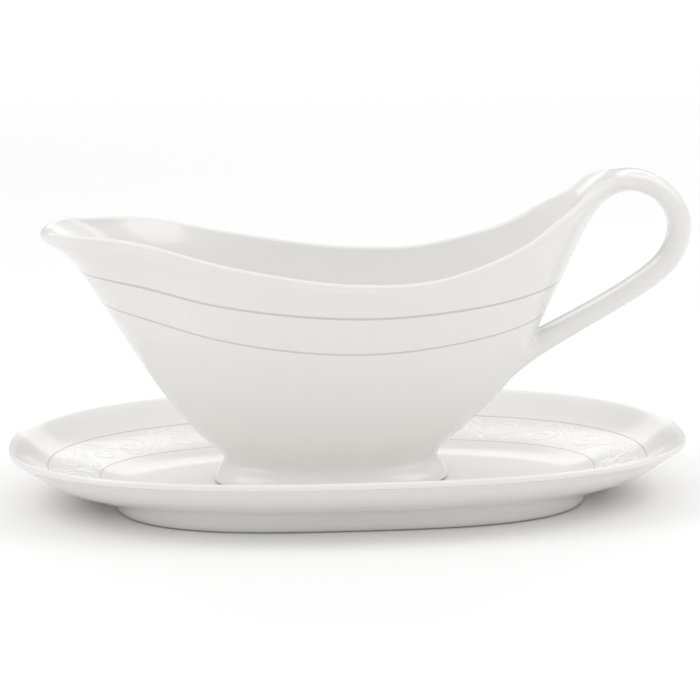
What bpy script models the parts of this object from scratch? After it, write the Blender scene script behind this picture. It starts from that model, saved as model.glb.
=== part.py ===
"""A porcelain gravy boat on its oval stand, built as the potter builds it.

The boat is a cast bowl with a strap handle and a pedestal foot luted on, and the stand is
a pressed plate on a foot ring. The boat stands loose in the well of the plate.

Lengths are in millimetres, and MM turns them into Blender's metres. +X is the handle's end,
-X the spout, +Z up. The table is z = 0, and the origin is under the middle of the set's box.
"""

import math

import bmesh
import bpy
import numpy as np

MM = 0.001
GAP = 0.3

# The stand.
PLATE_HALF_LENGTH = 120.0
PLATE_HALF_WIDTH = 76.0
PLATE_SQUARENESS = 2.32
PLATE_RIM_HEIGHT = 21.4
PLATE_RIM_SWAY = 0.8
WELL_HEIGHT = 5.9
RING_HALF_LENGTH = 83.4
RING_HALF_WIDTH = 55.4
RING_SQUARENESS = 2.95
RING_WIDTH = 5.5
RING_BEARING_WIDTH = 2.2

# The boat. Its handle reaches past the stand, so the stand sits a little off the origin.
HANDLE_REACH = 122.0
STAND_SHIFT = (PLATE_HALF_LENGTH - HANDLE_REACH) / 2
WALL = 3.4
BOWL_FLOOR = 4.0
FOOT_MIDDLE = -6.2
FOOT_HALF_LENGTH = 41.6
FOOT_HALF_WIDTH = 25.5
FOOT_SQUARENESS = 2.25
WAIST_HALF_LENGTH = 37.4
WAIST_HALF_WIDTH = 21.5
WAIST_HEIGHT = 15.4
FOOT_WALL = 4.5
SEAM_THICKNESS = 6.5

# How finely the surfaces are cut.
BOWL_RIBS = 72
BOWL_ROWS = 14
RIM_ROWS = 4
TAIL_RIBS = 6
STRAP_STATIONS = 40
OVAL_POINTS = 64

# Outlines of the boat on its middle plane, (height, x), and its half-width, (height, y).
SPOUT_SIDE = [
    (15.4, -43.6), (22, -51.6), (29, -58.0), (44, -69.2), (61.5, -80.0), (79, -90.8),
    (86, -95.8), (90, -100.4), (94.5, -107.0), (100, -111.0), (118, -116.0),
]
TAIL_SIDE = [
    (15.4, 31.2), (22, 39.2), (30, 48.0), (38, 55.8), (47, 62.6), (58, 67.4),
    (75, 75.2), (92, 83.4), (97, 86.3), (101, 89.6), (104.4, 94.4), (107, 104.0), (118, 150.0),
]
SIDE_WALL = [
    (15.4, 21.5), (22, 27.6), (30, 32.2), (44, 38.0), (60, 42.0), (75, 43.6),
    (84, 44.6), (90, 45.4), (100, 44.5), (118, 42.0),
]
# The rim seen from the side, (x, height).
RIM_LINE = [
    (-112, 92.6), (-107.5, 94.9), (-98, 96.9), (-88, 97.0), (-78, 96.0), (-68, 94.2), (-48, 89.6),
    (-28, 85.8), (-8, 82.8), (12, 81.6), (27, 82.1), (42, 85.1), (52, 88.1), (62, 92.3),
    (72, 98.4), (82, 106.4), (90, 111.4), (97, 113.6), (104, 113.4),
]
# How much fuller than an ellipse each level is near the tail, (height, share).
TAIL_FULLNESS = [
    (80, 0.0), (88, 0.0), (95, 0.03), (99, 0.04), (102.8, -0.06), (106.4, -0.28), (110, -0.48),
    (118, -0.6),
]
# The strap's middle line from the tail to the back wall, (x, height, thickness, half-width).
STRAP_LINE = [
    (85.3, 100.3, 6.5, 17.0), (88.9, 104.9, 6.8, 13.6), (93.7, 108.6, 7.5, 10.4),
    (99.6, 110.4, 7.8, 8.1), (106.0, 109.2, 7.8, 7.1), (112.4, 105.2, 7.6, 6.9),
    (116.8, 99.0, 8.0, 6.8), (118.0, 93.0, 8.0, 6.8), (116.6, 86.6, 7.8, 6.8),
    (113.4, 81.2, 7.5, 6.8), (108.0, 76.2, 7.2, 6.8), (99.0, 70.2, 7.0, 6.8),
    (88.0, 63.9, 7.0, 6.9), (77.0, 57.9, 7.4, 7.2), (66.0, 51.9, 8.2, 8.0), (58.0, 47.6, 9.0, 9.0),
]
# Over this many of the strap's places its section turns from the tail's crescent into a strap.
CRESCENT_PLACES = 3.6


def spline(pairs):
    """A smooth curve through (input, output) pairs, as a function: the natural cubic spline."""
    at, to = np.array(pairs, float).T
    step = np.diff(at)
    slope = np.diff(to) / step
    count = len(at)
    rows = np.eye(count)
    right = np.zeros(count)
    for i in range(1, count - 1):
        rows[i, i - 1 : i + 2] = step[i - 1], 2 * (step[i - 1] + step[i]), step[i]
        right[i] = 6 * (slope[i] - slope[i - 1])
    bend = np.linalg.solve(rows, right)

    def value(x):
        x = np.clip(x, at[0], at[-1])
        i = np.clip(np.searchsorted(at, x) - 1, 0, count - 2)
        after = x - at[i]
        before = at[i + 1] - x
        cubic = (bend[i] * before**3 + bend[i + 1] * after**3) / (6 * step[i])
        low = (to[i] / step[i] - bend[i] * step[i] / 6) * before
        high = (to[i + 1] / step[i] - bend[i + 1] * step[i] / 6) * after
        return cubic + low + high

    return value


def ease(x, low, high):
    """0 below low, 1 above high, and smooth between them."""
    t = np.clip((x - low) / (high - low), 0, 1)
    return t * t * (3 - 2 * t)


spout_side = spline(SPOUT_SIDE)
tail_side = spline(TAIL_SIDE)
side_wall = spline(SIDE_WALL)
rim_line = spline(RIM_LINE)
tail_fullness = spline(TAIL_FULLNESS)


def hull(angle, height):
    """The boat's outer surface: angle 0 is the tail and pi the spout, and height is above the table.

    Each level is an oval, pinched behind the pouring lip and a little fuller at the tail.
    """
    front = spout_side(height)
    back = tail_side(height)
    middle = (front + back) / 2
    half = (back - front) / 2
    from_spout = math.pi - abs(angle)
    pinch = 0.14 * ease(height, 58, 90) * math.exp(-(((from_spout - 0.74) / 0.22) ** 2))
    fuller = tail_fullness(height) * math.exp(-((angle / 0.8) ** 2))
    egg = 0.02 * ease(height, 15, 60)
    across = math.sin(angle) * (1 - pinch + fuller) - egg * math.sin(2 * angle)
    return np.array([middle + half * math.cos(angle), side_wall(height) * across, height])


def hull_normal(angle, height):
    """The outward unit normal of the hull."""
    small = 1e-3
    along = hull(angle + small, height) - hull(angle - small, height)
    up = hull(angle, height + small) - hull(angle, height - small)
    normal = np.cross(along, up)
    return normal / np.linalg.norm(normal)


def crossing(value, low, high):
    """Where value, a function that rises through zero, crosses it between low and high."""
    for _ in range(40):
        middle = (low + high) / 2
        if value(middle) > 0:
            high = middle
        else:
            low = middle
    return (low + high) / 2


# The plane where the strap leaves the tail: square to the strap's middle line.
SEAM_POINT = np.array([STRAP_LINE[0][0], 0.0, STRAP_LINE[0][1]])
SEAM_NEXT = np.array([STRAP_LINE[1][0], 0.0, STRAP_LINE[1][1]])
SEAM_NORMAL = (SEAM_NEXT - SEAM_POINT) / np.linalg.norm(SEAM_NEXT - SEAM_POINT)


def rib_top(angle, edge_drop):
    """The height where a rib of the hull meets the rim, or the seam with the strap."""

    def above_rim(height):
        return height - (rim_line(hull(angle, height)[0]) - edge_drop)

    def past_seam(height):
        return (hull(angle, height) - SEAM_POINT) @ SEAM_NORMAL

    top = crossing(above_rim, 60, 117)
    if past_seam(top) > 0:
        return crossing(past_seam, 80, top), True
    return top, False


def at_rim(angle):
    """1 for a rib that ends at the rim and -1 for one that ends at the strap's seam."""
    return -1 if rib_top(angle, WALL / 2)[1] else 1


# The rib that ends where the rim meets the strap.
CORNER = crossing(at_rim, 0.01, 1.2)


def rib_angles():
    """One angle for each rib: TAIL_RIBS on each side of the tail's middle go into the strap."""
    tail = [CORNER * i / TAIL_RIBS for i in range(TAIL_RIBS + 1)]
    left = BOWL_RIBS // 2 - TAIL_RIBS
    rest = [CORNER + (math.pi - CORNER) * i / left for i in range(1, left + 1)]
    half = tail + rest
    return half + [-a for a in half[-2:0:-1]]


def wall_thickness(angle, share):
    """The wall is even, and thickens where the tail becomes the strap."""
    bulge = max(0.0, 1 - (angle / CORNER) ** 2)
    return WALL + (SEAM_THICKNESS - WALL) * bulge * ease(share, 0.72, 1)


def new_object(name, mesh_data, material, parent=None):
    """An object from points in millimetres and faces, shaded smooth."""
    points, faces = mesh_data
    mesh = bpy.data.meshes.new(name)
    mesh.from_pydata([[v * MM for v in p] for p in points], [], faces)
    work = bmesh.new()
    work.from_mesh(mesh)
    bmesh.ops.recalc_face_normals(work, faces=work.faces)
    work.to_mesh(mesh)
    work.free()
    mesh.shade_smooth()
    mesh.set_sharp_from_angle(angle=math.radians(40))
    mesh.materials.append(material)
    obj = bpy.data.objects.new(name, mesh)
    bpy.context.scene.collection.objects.link(obj)
    obj.parent = parent
    return obj


def porcelain(name, colour, roughness):
    """A Principled material for one sub-part."""
    material = bpy.data.materials.new(name)
    material.use_nodes = True
    shader = material.node_tree.nodes["Principled BSDF"]
    shader.inputs["Base Color"].default_value = (*colour, 1)
    shader.inputs["Roughness"].default_value = roughness
    shader.inputs["Metallic"].default_value = 0.0
    return material


class Surface:
    """Points and faces gathered ring by ring."""

    def __init__(self):
        self.points = []
        self.faces = []

    def ring(self, points):
        first = len(self.points)
        self.points.extend(points)
        return list(range(first, first + len(points)))

    def join(self, lower, upper):
        """A band of faces between two closed rings of the same length."""
        for i in range(len(lower)):
            j = (i + 1) % len(lower)
            self.faces.append((lower[i], lower[j], upper[j], upper[i]))

    def cap(self, ring, middle):
        """A fan of faces from a closed ring to one middle point."""
        centre = self.ring([middle])[0]
        for i in range(len(ring)):
            self.faces.append((ring[i], ring[(i + 1) % len(ring)], centre))

    def cap_strip(self, ring, across):
        """Close a flat ring: its first `across` points face the third run of as many."""
        side = len(ring) // 2 - across
        over = ring[across + side : 2 * across + side][::-1]
        for i in range(across - 1):
            self.faces.append((ring[i], ring[i + 1], over[i + 1], over[i]))
        self.faces.append(tuple(ring[across - 1 : across + side + 1]))
        self.faces.append(tuple(ring[2 * across + side - 1 :] + ring[:1]))

    def data(self):
        return self.points, self.faces


def superoval(half_length, half_width, squareness, count):
    """Points of an oval between an ellipse (2) and a rectangle, evenly spread in angle."""
    points = []
    for i in range(count):
        a = 2 * math.pi * i / count
        c, s = math.cos(a), math.sin(a)
        x = half_length * math.copysign(abs(c) ** (2 / squareness), c)
        y = half_width * math.copysign(abs(s) ** (2 / squareness), s)
        points.append((x, y))
    return points


# ---------------------------------------------------------------- the stand

PLATE_TOP = spline([
    (1.3, 21.4), (3.5, 20.2), (7, 17.6), (13.65, 13.5), (20, 11.5), (32, 8.6), (38, 6.9),
    (44, 6.0), (50, WELL_HEIGHT), (60, WELL_HEIGHT),
])
PLATE_THICKNESS = spline([
    (0, 2.6), (3, 3.1), (8, 3.4), (14, 4.0), (21, 5.2), (28, 6.1), (36, 5.2), (44, 3.9), (60, 3.5),
])


def plate_level(offset):
    """The plate's oval at a distance in from its rim."""
    share = offset / PLATE_HALF_WIDTH
    squareness = PLATE_SQUARENESS + (2.1 - PLATE_SQUARENESS) * share
    return superoval(
        PLATE_HALF_LENGTH - offset, PLATE_HALF_WIDTH - offset, squareness, OVAL_POINTS
    )


def rim_sway(x, y, offset):
    """The rim is a little lower at the ends than at the sides, fading out towards the well."""
    around = 2 * math.atan2(y / PLATE_HALF_WIDTH, x / PLATE_HALF_LENGTH)
    return -PLATE_RIM_SWAY * math.cos(around) * (1 - ease(offset, 0, 30))


def plate_ring(offset, height):
    return [(x, y, height + rim_sway(x, y, offset)) for x, y in plate_level(offset)]


def plate_underside(offset):
    return PLATE_TOP(max(offset, 1.3)) - PLATE_THICKNESS(offset)


def make_plate():
    """The plate: its top from the middle of the well out, round the rim, and back underneath."""
    surface = Surface()
    top_offsets = [60, 50, 46, 42, 38, 35, 32, 28, 24, 20, 17, 13.65, 10, 7, 4.5, 2.6]
    rings = [surface.ring(plate_ring(o, PLATE_TOP(o))) for o in top_offsets]
    surface.cap(rings[0], (0, 0, WELL_HEIGHT))
    round_radius = PLATE_THICKNESS(0) / 2
    edge_height = PLATE_RIM_HEIGHT - round_radius
    for i in range(6):
        a = math.pi * (0.40 - 0.9 * i / 5)
        offset = round_radius * (1 - math.cos(a))
        rings.append(surface.ring(plate_ring(offset, edge_height + round_radius * math.sin(a))))
    under_offsets = [3.0, 6, 10, 15, 20, 26, 32, 38, 46, 60]
    rings += [surface.ring(plate_ring(o, plate_underside(o))) for o in under_offsets]
    for lower, upper in zip(rings, rings[1:]):
        surface.join(lower, upper)
    surface.cap(rings[-1], (0, 0, plate_underside(60)))
    return surface.data()


def plate_offset(x, y):
    """How far in from the plate's rim a point of the plan lies."""

    def inside(offset):
        share = offset / PLATE_HALF_WIDTH
        n = PLATE_SQUARENESS + (2.1 - PLATE_SQUARENESS) * share
        a, b = PLATE_HALF_LENGTH - offset, PLATE_HALF_WIDTH - offset
        return abs(x / a) ** n + abs(y / b) ** n - 1

    return crossing(inside, 0, 60)


def make_plate_ring():
    """The ring under the plate: a flat bearing edge, rounded outside, up to the plate's underside."""
    surface = Surface()
    slope = (RING_WIDTH - RING_BEARING_WIDTH) / 2
    # Each level's distance in from the ring's outline, and its share of the height.
    levels = [
        (0.0, 1.0), (0.15, 0.6), (0.6, 0.25), (slope, 0.0), (slope + RING_BEARING_WIDTH, 0.0),
        (RING_WIDTH - 0.6, 0.25), (RING_WIDTH - 0.15, 0.6), (RING_WIDTH, 1.0),
    ]
    rings = []
    for inward, share in levels:
        ring = []
        oval = superoval(
            RING_HALF_LENGTH - inward, RING_HALF_WIDTH - inward, RING_SQUARENESS, OVAL_POINTS
        )
        for x, y in oval:
            offset = plate_offset(x, y)
            top = plate_underside(offset) + rim_sway(x, y, offset) - GAP
            ring.append((x, y, top * share))
        rings.append(surface.ring(ring))
    for lower, upper in zip(rings, rings[1:] + rings[:1]):
        surface.join(lower, upper)
    return surface.data()


# ---------------------------------------------------------------- the boat


def make_bowl():
    """The bowl: outer ribs up to the rim and the strap's seam, the rounded rim, and the inside."""
    surface = Surface()
    angles = rib_angles()
    count = len(angles)
    low = WAIST_HEIGHT + GAP
    outer = []
    inner = []
    for row in range(BOWL_ROWS):
        share = row / (BOWL_ROWS - 1)
        outer_ring = []
        inner_ring = []
        for angle in angles:
            height = low + (rib_top(angle, WALL / 2)[0] - low) * share
            point = hull(angle, height)
            inside = point - hull_normal(angle, height) * wall_thickness(angle, share)
            if abs(angle) < CORNER * 1.01:
                inside -= SEAM_NORMAL * ((inside - SEAM_POINT) @ SEAM_NORMAL) * ease(share, 0.9, 1)
            inside[2] = max(inside[2], low + BOWL_FLOOR)
            outer_ring.append(point)
            inner_ring.append(inside)
        outer.append(surface.ring(outer_ring))
        if row:
            inner.append(surface.ring(inner_ring))
    for side in (outer, inner):
        for lower, upper in zip(side, side[1:]):
            surface.join(lower, upper)
    surface.cap(outer[0], (FOOT_MIDDLE, 0, low))
    # The floor flattens out in two rings, (share of the way out, rise).
    floor = np.array([FOOT_MIDDLE, 0, low + BOWL_FLOOR])
    edge = inner[0]
    for share, rise in ((0.82, 1.1), (0.55, 0.0)):
        ring = [floor + (surface.points[i] - floor) * (share, share, 0) for i in inner[0]]
        ring = surface.ring([p + np.array([0, 0, rise]) for p in ring])
        surface.join(edge, ring)
        edge = ring
    surface.cap(edge, floor)
    rim = [outer[-1][TAIL_RIBS : count - TAIL_RIBS + 1]]
    for k in range(1, RIM_ROWS):
        rim.append(surface.ring(rim_row(surface, outer, inner, math.pi * k / RIM_ROWS)))
    rim.append(inner[-1][TAIL_RIBS : count - TAIL_RIBS + 1])
    for lower, upper in zip(rim, rim[1:]):
        for i in range(len(lower) - 1):
            surface.faces.append((lower[i], lower[i + 1], upper[i + 1], upper[i]))
    # The seam is the ring where the strap starts: under, up one side, over, and down the other.
    tail = [i % count for i in range(count - TAIL_RIBS, count + TAIL_RIBS + 1)]
    seam = [outer[-1][i] for i in tail]
    seam += [row[0] for row in rim[1:-1]]
    seam += [inner[-1][i] for i in reversed(tail)]
    seam += [row[-1] for row in reversed(rim[1:-1])]
    surface.cap_strip(seam, len(tail))
    return surface.data(), [surface.points[i] for i in seam]


def rim_row(surface, outer, inner, turn):
    """One line of the rounded rim: turn goes from 0 at its outer edge to pi at its inner edge."""
    count = len(outer[-1])
    points = []
    for i in range(TAIL_RIBS, count - TAIL_RIBS + 1):
        edge = surface.points[outer[-1][i]]
        inside = surface.points[inner[-1][i]]
        along = surface.points[outer[-1][(i + 1) % count]] - surface.points[outer[-1][i - 1]]
        if i in (TAIL_RIBS, count - TAIL_RIBS):
            along = SEAM_NORMAL
        across = (inside - edge) / 2
        rise = np.cross(along, across)
        rise *= np.linalg.norm(across) / np.linalg.norm(rise)
        if rise @ (edge - surface.points[outer[-2][i]]) < 0:
            rise = -rise
        points.append((edge + inside) / 2 - across * math.cos(turn) + rise * math.sin(turn))
    return points


STRAP_PLACES = range(len(STRAP_LINE))
strap_x, strap_z, strap_thickness, strap_half_width = (
    spline(list(zip(STRAP_PLACES, [p[k] for p in STRAP_LINE]))) for k in range(4)
)


def strap_frame(place):
    """The strap's middle and its outward direction at a place along its line."""
    step = 1e-3
    middle = np.array([strap_x(place), 0.0, strap_z(place)])
    ahead = np.array([
        strap_x(place + step) - strap_x(place - step), 0.0,
        strap_z(place + step) - strap_z(place - step),
    ])
    ahead /= np.linalg.norm(ahead)
    return middle, np.array([-ahead[2], 0.0, ahead[0]])


def strap_section(side_count, across_count):
    """The strap's rounded section, in half-widths and half-thicknesses and in the seam's order."""
    flat = math.radians(62)
    wide = [2 * flat * i / (across_count - 1) - flat for i in range(across_count)]
    narrow = math.pi / 2 - flat
    side = [2 * narrow * (k + 1) / (side_count + 1) - narrow for k in range(side_count)]
    turns = [a - math.pi / 2 for a in wide] + side
    turns += [a + math.pi / 2 for a in wide] + [a + math.pi for a in side]
    section = []
    for a in turns:
        across = math.copysign(abs(math.cos(a)) ** 0.8, math.cos(a))
        out = math.copysign(abs(math.sin(a)) ** 0.8, math.sin(a))
        section.append((across, out))
    return section


def wall_clearance(point):
    """How far a point near the tail is outside the bowl's back wall, less the gap."""
    height = point[2]

    def beyond(angle):
        return hull(angle, height)[1] - abs(point[1])

    angle = crossing(beyond, 0, 0.9)
    normal = hull_normal(angle, height)
    return (point[0] - hull(angle, height)[0]) * normal[0] - GAP


def make_handle(seam):
    """The strap handle: from the seam over the loop and down to the back wall."""
    surface = Surface()
    across_count = 2 * TAIL_RIBS + 1
    side_count = len(seam) // 2 - across_count
    section = strap_section(side_count, across_count)
    start, start_out = strap_frame(0)
    crescent = [(p[1] / STRAP_LINE[0][3], (p - start) @ start_out) for p in seam]

    def strap_point(j, place):
        middle, out = strap_frame(place)
        share = ease(place, 0, CRESCENT_PLACES)
        across = (crescent[j][0] * (1 - share) + section[j][0] * share) * strap_half_width(place)
        strap_level = section[j][1] * strap_thickness(place) / 2
        level = crescent[j][1] * (1 - share) + strap_level * share
        return middle + np.array([0.0, across, 0.0]) + out * level

    last = len(STRAP_LINE) - 1
    ends = []
    for j in range(len(seam)):
        ends.append(crossing(lambda place: -wall_clearance(strap_point(j, place)), last - 3, last))
    rings = [surface.ring([p + SEAM_NORMAL * GAP for p in seam])]
    for i in range(1, STRAP_STATIONS + 1):
        share = i / STRAP_STATIONS
        rings.append(surface.ring([strap_point(j, ends[j] * share) for j in range(len(seam))]))
    for lower, upper in zip(rings, rings[1:]):
        surface.join(lower, upper)
    surface.cap_strip(rings[0], across_count)
    # The lower end lies against the curved wall: a ring half way in, then the middle.
    edge = [surface.points[i] for i in rings[-1]]
    centre = np.mean(edge, axis=0)
    half_way = surface.ring([against_wall((p + centre) / 2) for p in edge])
    surface.join(rings[-1], half_way)
    surface.cap(half_way, against_wall(centre))
    return surface.data()


def against_wall(point):
    """The point moved along X until it stands a gap off the bowl's back wall."""
    moved = np.array(point)
    for _ in range(8):
        moved[0] -= wall_clearance(moved)
    return moved


def make_boat_foot():
    """The pedestal foot: an oval ring that flares from the waist to its bearing edge."""
    surface = Surface()
    low = WELL_HEIGHT + GAP
    high = WAIST_HEIGHT
    flare = spline([(0, 1.0), (0.12, 0.985), (0.35, 0.78), (0.65, 0.30), (0.85, 0.06), (1, 0.0)])
    outer_shares = [1, 0.85, 0.7, 0.55, 0.4, 0.27, 0.14, 0.06]
    rings = []

    def level(share, inward, height):
        out = float(flare(share))
        length = WAIST_HALF_LENGTH + (FOOT_HALF_LENGTH - WAIST_HALF_LENGTH) * out - inward
        width = WAIST_HALF_WIDTH + (FOOT_HALF_WIDTH - WAIST_HALF_WIDTH) * out - inward
        oval = superoval(length, width, FOOT_SQUARENESS, OVAL_POINTS)
        return [(FOOT_MIDDLE + x, y, height) for x, y in oval]

    for share in outer_shares:
        rings.append(surface.ring(level(share, 0, low + (high - low) * share)))
    rings.append(surface.ring(level(0, 0.35, low + 0.15)))
    rings.append(surface.ring(level(0, 0.9, low)))
    rings.append(surface.ring(level(0, FOOT_WALL - 1.2, low)))
    rings.append(surface.ring(level(0, FOOT_WALL - 0.6, low + 0.5)))
    for share in (0.25, 0.5, 0.75, 1.0):
        rings.append(surface.ring(level(share, FOOT_WALL, low + (high - low) * share)))
    for lower, upper in zip(rings, rings[1:] + rings[:1]):
        surface.join(lower, upper)
    return surface.data()


def main():
    for obj in list(bpy.data.objects):
        bpy.data.objects.remove(obj)
    glaze = (0.80, 0.79, 0.77)
    biscuit = (0.74, 0.72, 0.69)
    stand = bpy.data.objects.new("stand_place", None)
    boat = bpy.data.objects.new("boat_lift", None)
    for place in (stand, boat):
        place.location.x = STAND_SHIFT * MM
        bpy.context.scene.collection.objects.link(place)
    new_object("saucer_plate", make_plate(), porcelain("plate_glaze", glaze, 0.12), stand)
    new_object("saucer_foot_ring", make_plate_ring(), porcelain("ring_biscuit", biscuit, 0.6), stand)
    bowl, seam = make_bowl()
    new_object("bowl", bowl, porcelain("bowl_glaze", glaze, 0.12), boat)
    new_object("handle", make_handle(seam), porcelain("handle_glaze", glaze, 0.12), boat)
    new_object("boat_foot", make_boat_foot(), porcelain("foot_glaze", glaze, 0.12), boat)


main()
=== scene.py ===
"""The looks of a porcelain gravy boat on its oval saucer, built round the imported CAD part.

The boat's skin is worked out as one surface, from the pedestal foot over the bowl to the strap
handle, and then cut into its three pieces, so that the luted joins don't show. The saucer's
plate and foot ring are made the same way. Fired lines and low scrolls lie on both.

Lengths are in millimetres, measured from the middle of the saucer, and MM turns them into
metres. +X is the handle's end, -X the spout, +Z up, and the table is z = 0.
"""

import math

import bmesh
import bpy
import numpy as np
from mathutils import Matrix, Vector


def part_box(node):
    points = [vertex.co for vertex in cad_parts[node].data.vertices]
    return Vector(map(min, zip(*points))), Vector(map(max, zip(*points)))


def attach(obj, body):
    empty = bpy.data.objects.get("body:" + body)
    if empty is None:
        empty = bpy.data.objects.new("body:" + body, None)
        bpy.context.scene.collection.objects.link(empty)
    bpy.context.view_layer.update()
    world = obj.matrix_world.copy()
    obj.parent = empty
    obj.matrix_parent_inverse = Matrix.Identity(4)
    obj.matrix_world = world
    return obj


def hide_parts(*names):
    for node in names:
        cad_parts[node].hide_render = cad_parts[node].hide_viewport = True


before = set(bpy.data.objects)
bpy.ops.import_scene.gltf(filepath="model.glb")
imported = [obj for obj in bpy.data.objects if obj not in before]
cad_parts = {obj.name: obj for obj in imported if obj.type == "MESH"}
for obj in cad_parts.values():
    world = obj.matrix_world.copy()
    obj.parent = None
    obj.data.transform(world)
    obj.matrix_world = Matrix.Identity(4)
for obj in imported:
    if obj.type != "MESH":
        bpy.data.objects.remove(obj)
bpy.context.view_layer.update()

MM = 0.001
plate_low, plate_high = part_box("saucer_plate")
ring_low, ring_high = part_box("saucer_foot_ring")
foot_low, foot_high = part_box("boat_foot")
STAND_X = (plate_low[0] + plate_high[0]) / 2 / MM

# The saucer. A squareness of 2 makes an ellipse, and a higher one comes nearer to a rectangle.
PLATE_HALF_LENGTH = (plate_high[0] - plate_low[0]) / 2 / MM
PLATE_HALF_WIDTH = (plate_high[1] - plate_low[1]) / 2 / MM
PLATE_SQUARENESS = 2.32
PLATE_INNER_SQUARENESS = 2.1
PLATE_RIM_HEIGHT = 21.4
PLATE_RIM_SWAY = 0.8
WELL_HEIGHT = 5.9
WELL_INSET = 60
# The plate's top, (distance in from the rim, height), and its thickness at such distances.
PLATE_TOP_LINE = [
    (1.3, 21.4), (3.5, 20.2), (7, 17.6), (13.65, 13.5), (20, 11.5), (32, 8.6), (38, 6.9),
    (44, 6.0), (50, WELL_HEIGHT), (WELL_INSET, WELL_HEIGHT),
]
PLATE_THICKNESS_LINE = [
    (0, 2.6), (3, 3.1), (8, 3.4), (14, 4.0), (21, 5.2), (28, 6.1), (36, 5.2), (44, 3.9),
    (WELL_INSET, 3.5),
]
# Distances in from the rim, where the saucer's outer and inner lines are.
PLATE_LINES = (13.65, 32.0)
RING_HALF_LENGTH = (ring_high[0] - ring_low[0]) / 2 / MM
RING_HALF_WIDTH = (ring_high[1] - ring_low[1]) / 2 / MM
RING_SQUARENESS = 2.95
RING_FLARE = 1.6  # how far outside the ring the plate's underside meets it
# The ring's outside, bearing edge and inside, (distance in, share of the plate's height there).
RING_PROFILE = [
    (-0.9, 0.93), (-0.45, 0.82), (-0.15, 0.68), (0.0, 0.52), (0.12, 0.36), (0.4, 0.2),
    (0.9, 0.07), (1.65, 0.0), (3.85, 0.0), (4.6, 0.07), (5.1, 0.2), (5.35, 0.4),
    (5.5, 0.6), (5.75, 0.8), (6.3, 0.94), (7.1, 1.0),
]

# The boat's wall, rim and floor.
WALL = 3.4
SEAM_THICKNESS = 6.5
SWELL_FROM = 0.72  # share of a rib's height where the wall starts to thicken towards the seam
LIP_ROLL = 1.0  # how far the rim's outer shoulder rolls in
LIP_HEIGHT = 4.2  # over what height it rolls in
LIP_TIP_FADE = (0.1, 0.45)  # radians from the spout's tip over which the roll sets in
LIP_STRAP_FADE = 0.4  # radians from the strap over which it sets in
BOWL_FLOOR = 4.0
FLOOR_CORNER = 2.5  # how far above the floor the rows of the wall's inside stop
FLOOR_CURVE = 3.2  # how sharply the floor curves up to them

# The pedestal.
WAIST_HEIGHT = foot_high[2] / MM
FOOT_BOTTOM = foot_low[2] / MM
FOOT_MIDDLE = (foot_low[0] + foot_high[0]) / 2 / MM - STAND_X
FOOT_HALF_LENGTH = (foot_high[0] - foot_low[0]) / 2 / MM
FOOT_HALF_WIDTH = (foot_high[1] - foot_low[1]) / 2 / MM
FOOT_SQUARENESS = 2.25
FOOT_WALL = 4.5
# How it flares, (share of its height down from the waist, share of the way out).
FOOT_FLARE = [(0, 0.0), (0.15, 0.06), (0.35, 0.30), (0.65, 0.78), (0.88, 0.985), (1, 1.0)]
FLARE_END = 0.93  # share of its height where its rounded bearing edge takes over
# That edge, (distance in, height).
FOOT_EDGE = [
    (0.1, 0.3), (0.35, 0.1), (0.8, 0.0),
    (FOOT_WALL - 1.0, 0.0), (FOOT_WALL - 0.4, 0.15), (FOOT_WALL, 0.6),
]

# Outlines of the boat on its middle plane, (height, x), and its half-width, (height, y).
SPOUT_SIDE = [
    (15.4, -43.6), (22, -51.6), (29, -58.0), (44, -69.2), (61.5, -80.0), (79, -90.8),
    (86, -95.8), (90, -100.4), (94.5, -107.0), (100, -111.0), (118, -116.0),
]
TAIL_SIDE = [
    (15.4, 31.2), (22, 39.2), (30, 48.0), (38, 55.8), (47, 62.6), (58, 67.4),
    (75, 75.2), (92, 83.4), (97, 86.3), (101, 89.6), (104.4, 94.4), (107, 104.0), (118, 150.0),
]
SIDE_WALL = [
    (15.4, 21.5), (22, 27.6), (30, 32.2), (44, 38.0), (60, 42.0), (75, 43.6),
    (84, 44.6), (90, 45.4), (100, 44.5), (118, 42.0),
]
# The rim seen from the side, (x, height).
RIM_LINE = [
    (-112, 92.6), (-107.5, 94.9), (-98, 96.9), (-88, 97.0), (-78, 96.0), (-68, 94.2), (-48, 89.6),
    (-28, 85.8), (-8, 82.8), (12, 81.6), (27, 82.1), (42, 85.1), (52, 88.1), (62, 92.3),
    (72, 98.4), (82, 106.4), (90, 111.4), (97, 113.6), (104, 113.4),
]
RIM_SEARCH = (60, 117)  # heights that the whole rim lies between
SEAM_SEARCH = 80  # a height below the whole seam
# How much fuller than an ellipse each level is near the tail, (height, share).
TAIL_FULLNESS = [
    (80, 0.0), (88, 0.0), (95, 0.03), (99, 0.04), (102.8, -0.06), (106.4, -0.28), (110, -0.48),
    (118, -0.6),
]
TAIL_SPREAD = 0.8  # radians round from the tail over which that fades out
EGG = 0.02  # how much fuller a level's front half is than its back half
EGG_HEIGHTS = (15, 60)  # over what heights that sets in
# The pinch behind the pouring lip.
PINCH = 0.14  # share of the half-width
PINCH_HEIGHTS = (58, 90)  # over what heights it sets in
PINCH_PLACE = 0.74  # radians round from the spout's tip
PINCH_SPREAD = 0.22

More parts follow.
